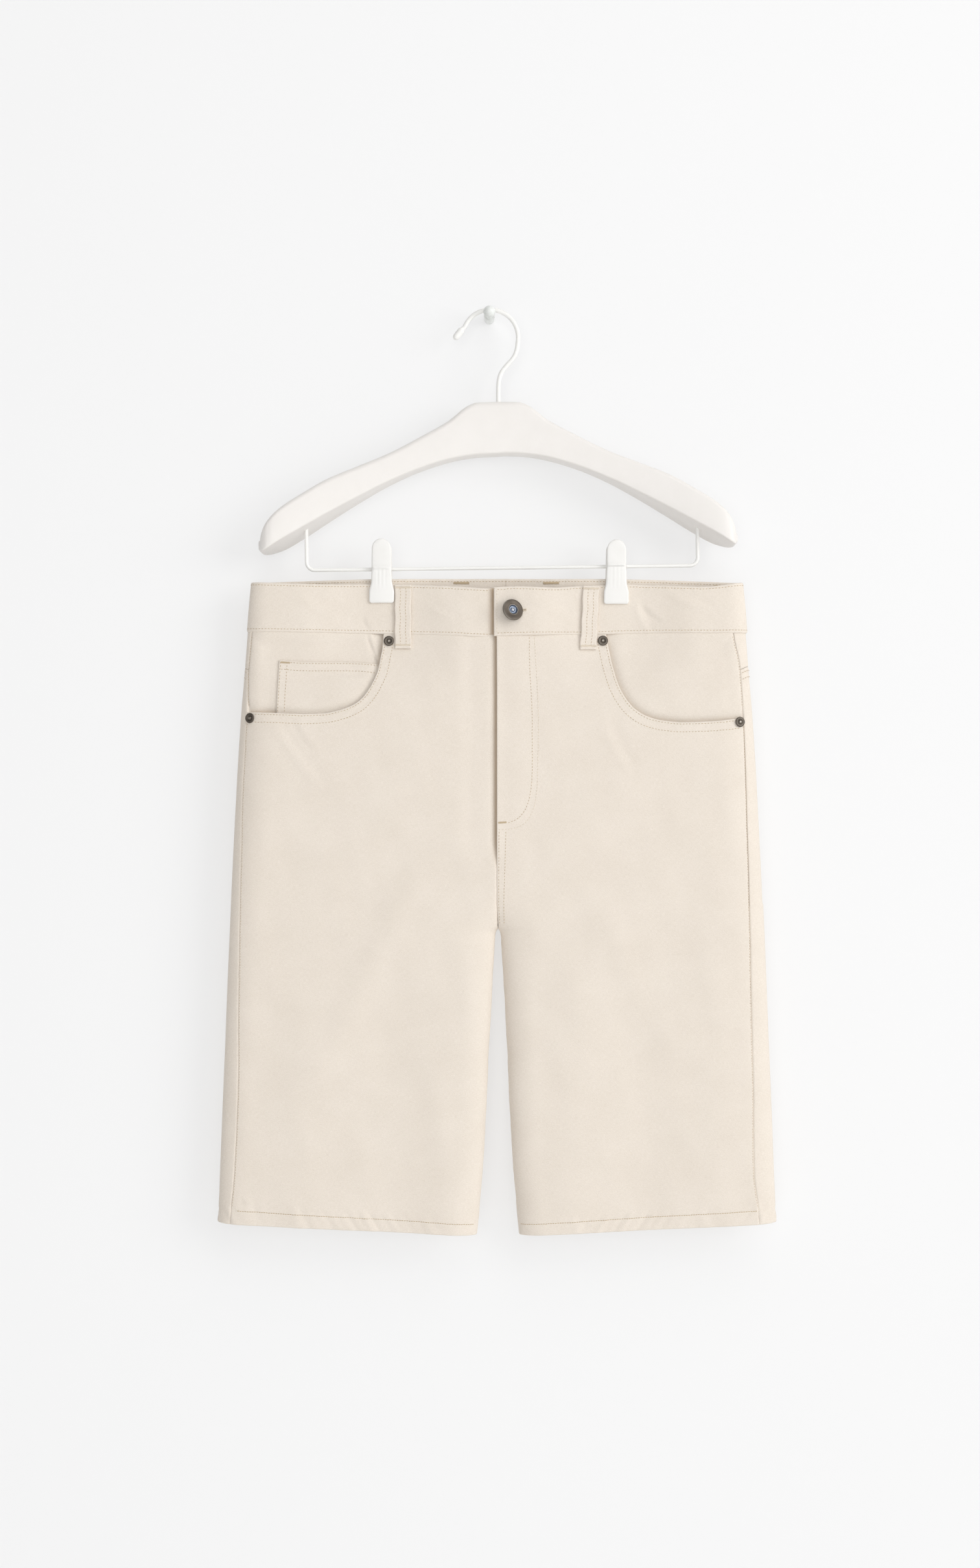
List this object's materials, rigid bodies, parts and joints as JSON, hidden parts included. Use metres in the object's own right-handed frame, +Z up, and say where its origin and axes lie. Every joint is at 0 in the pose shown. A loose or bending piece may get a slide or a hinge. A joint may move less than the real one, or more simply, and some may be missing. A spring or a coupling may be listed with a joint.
{
  "type": "bermuda shorts on clip hanger",
  "caption": "Straight knee-length cotton twill shorts with jeans pockets, clipped by the waistband to a white hanger with broad arms, whose hook hangs over a short wall peg.",
  "frame": {"origin": "middle of the peg's foot, where it meets the wall", "axes": "+Z up, +Y into the wall, so the front of the shorts faces -Y; +X towards the wearer's left side"},
  "size_m": [0.4926, 0.0533, 0.821],
  "materials": {
    "twill": "undyed cotton twill, matt",
    "dark_metal": "dark antique plating, semi-gloss",
    "lacquered_wood": "white satin lacquer",
    "white_wire": "white coating",
    "white_plastic": "white, satin",
    "peg_enamel": "white enamel"
  },
  "bodies": {
    "root": {"front_right": "twill", "front_left": "twill", "hip_facing_right": "twill", "hip_facing_left": "twill", "coin_pocket": "twill", "yoke_right": "twill", "yoke_left": "twill", "back_right": "twill", "back_left": "twill", "back_pocket_right": "twill", "back_pocket_left": "twill", "waistband": "twill", "belt_loop_front_right": "twill", "belt_loop_front_left": "twill", "belt_loop_side_right": "twill", "belt_loop_side_left": "twill", "belt_loop_back_right": "twill", "belt_loop_back_left": "twill", "waist_button": "dark_metal", "rivet_inner_right": "dark_metal", "rivet_inner_left": "dark_metal", "rivet_outer_right": "dark_metal", "rivet_outer_left": "dark_metal", "hanger_body": "lacquered_wood", "hanger_hook": "white_wire", "trouser_bar": "white_wire", "clip_right_front": "white_plastic", "clip_right_back": "white_plastic", "clip_left_front": "white_plastic", "clip_left_back": "white_plastic", "wall_peg": "peg_enamel"}
  },
  "joints": []
}
